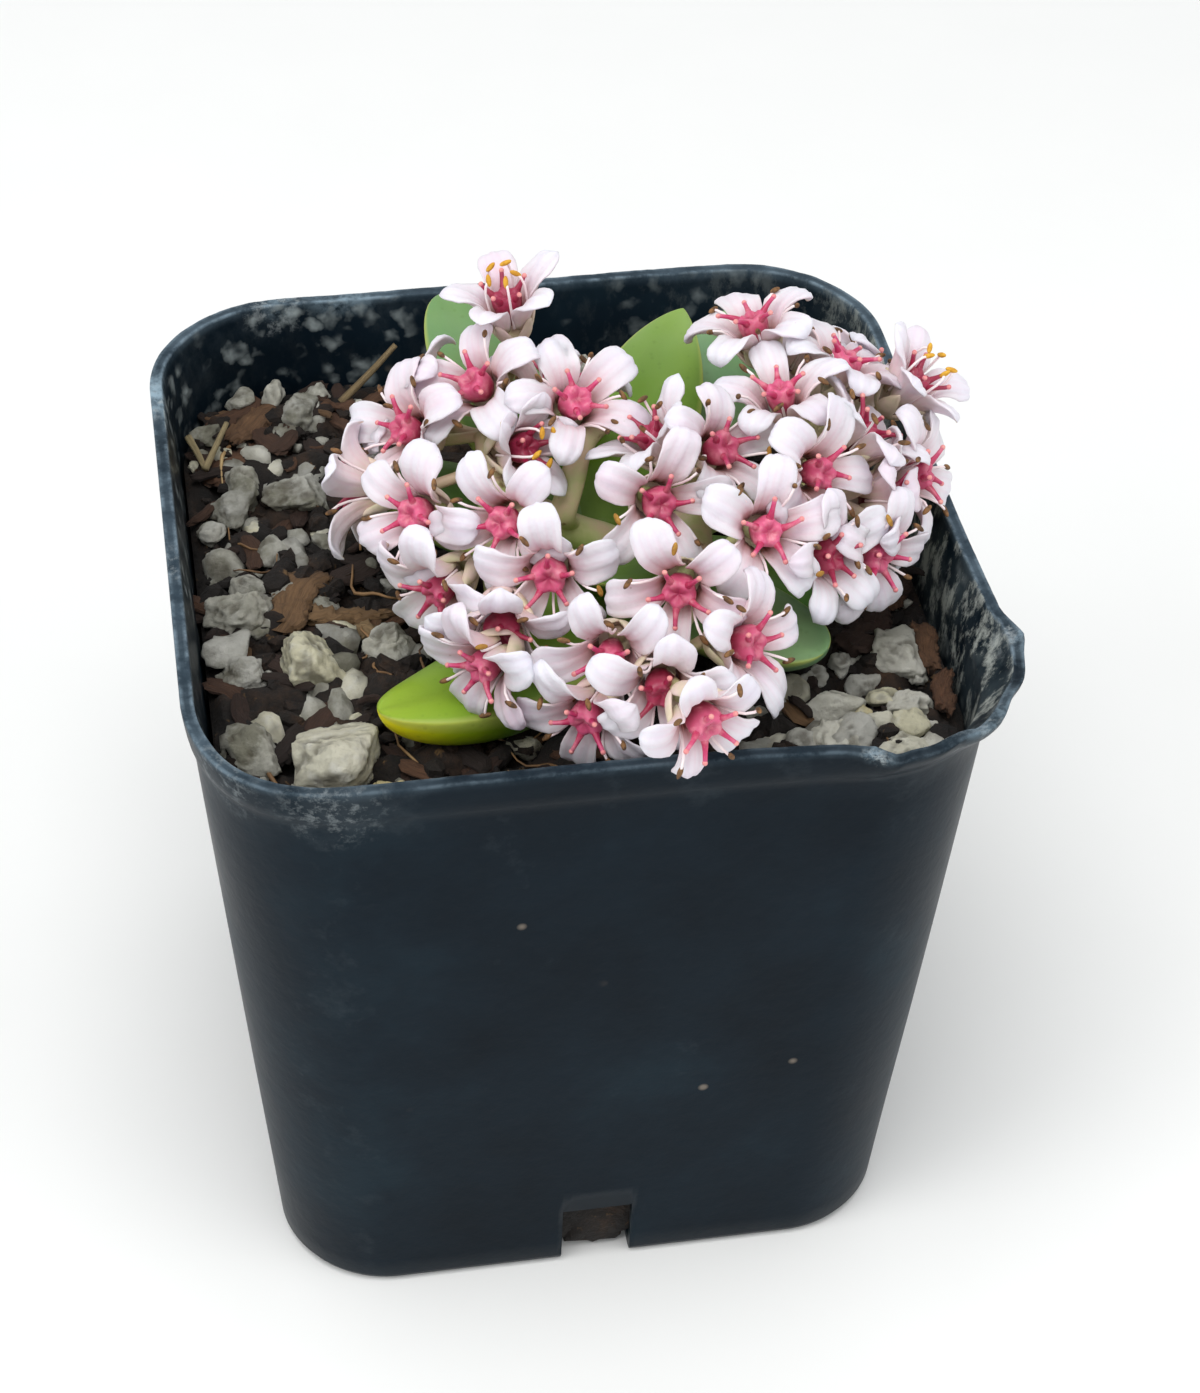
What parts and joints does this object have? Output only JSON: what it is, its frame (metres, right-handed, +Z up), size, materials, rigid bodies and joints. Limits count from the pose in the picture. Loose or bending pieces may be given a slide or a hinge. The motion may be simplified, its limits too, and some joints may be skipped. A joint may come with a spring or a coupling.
{
  "type": "potted succulent",
  "caption": "Small square nursery pot of peat and pumice holding a low succulent with thick keeled leaves under two dense rounded heads of pale pink starry blooms.",
  "frame": {"origin": "centre of the pot's base, on the ground", "axes": "+Z up; -Y is the front, the side the low blooms overhang; +X to the right"},
  "size_m": [0.058, 0.0594, 0.0704],
  "materials": {
    "pot": "satin",
    "soil": "matte",
    "pumice": "matte",
    "bark": "matte",
    "leaf": "satin",
    "stalk": "satin",
    "petal": "satin"
  },
  "bodies": {
    "root": {"pot": "pot", "leaf_front_left": "leaf", "leaf_back_right": "leaf", "leaf_right": "leaf", "leaf_left": "leaf", "leaf_left_back": "leaf", "leaf_front_right": "leaf", "leaf_upper_back": "leaf", "leaf_upper_front": "leaf", "pumice_01": "pumice", "pumice_02": "pumice", "pumice_03": "pumice", "pumice_04": "pumice", "pumice_05": "pumice", "pumice_06": "pumice", "pumice_07": "pumice", "pumice_08": "pumice", "pumice_09": "pumice", "pumice_10": "pumice", "pumice_11": "pumice", "pumice_12": "pumice", "pumice_13": "pumice", "pumice_14": "pumice", "pumice_15": "pumice", "pumice_16": "pumice", "pumice_17": "pumice", "pumice_18": "pumice", "pumice_19": "pumice", "bark_chip_left": "bark", "bark_chip_right": "bark", "twig_back": "bark", "twig_left": "bark", "soil": "soil", "flowering_stem": "stalk", "left_upper_petals": "petal", "left_lower_petals": "petal", "right_upper_petals": "petal", "right_lower_petals": "petal", "rim_bloom_petals": "petal"}
  },
  "joints": []
}
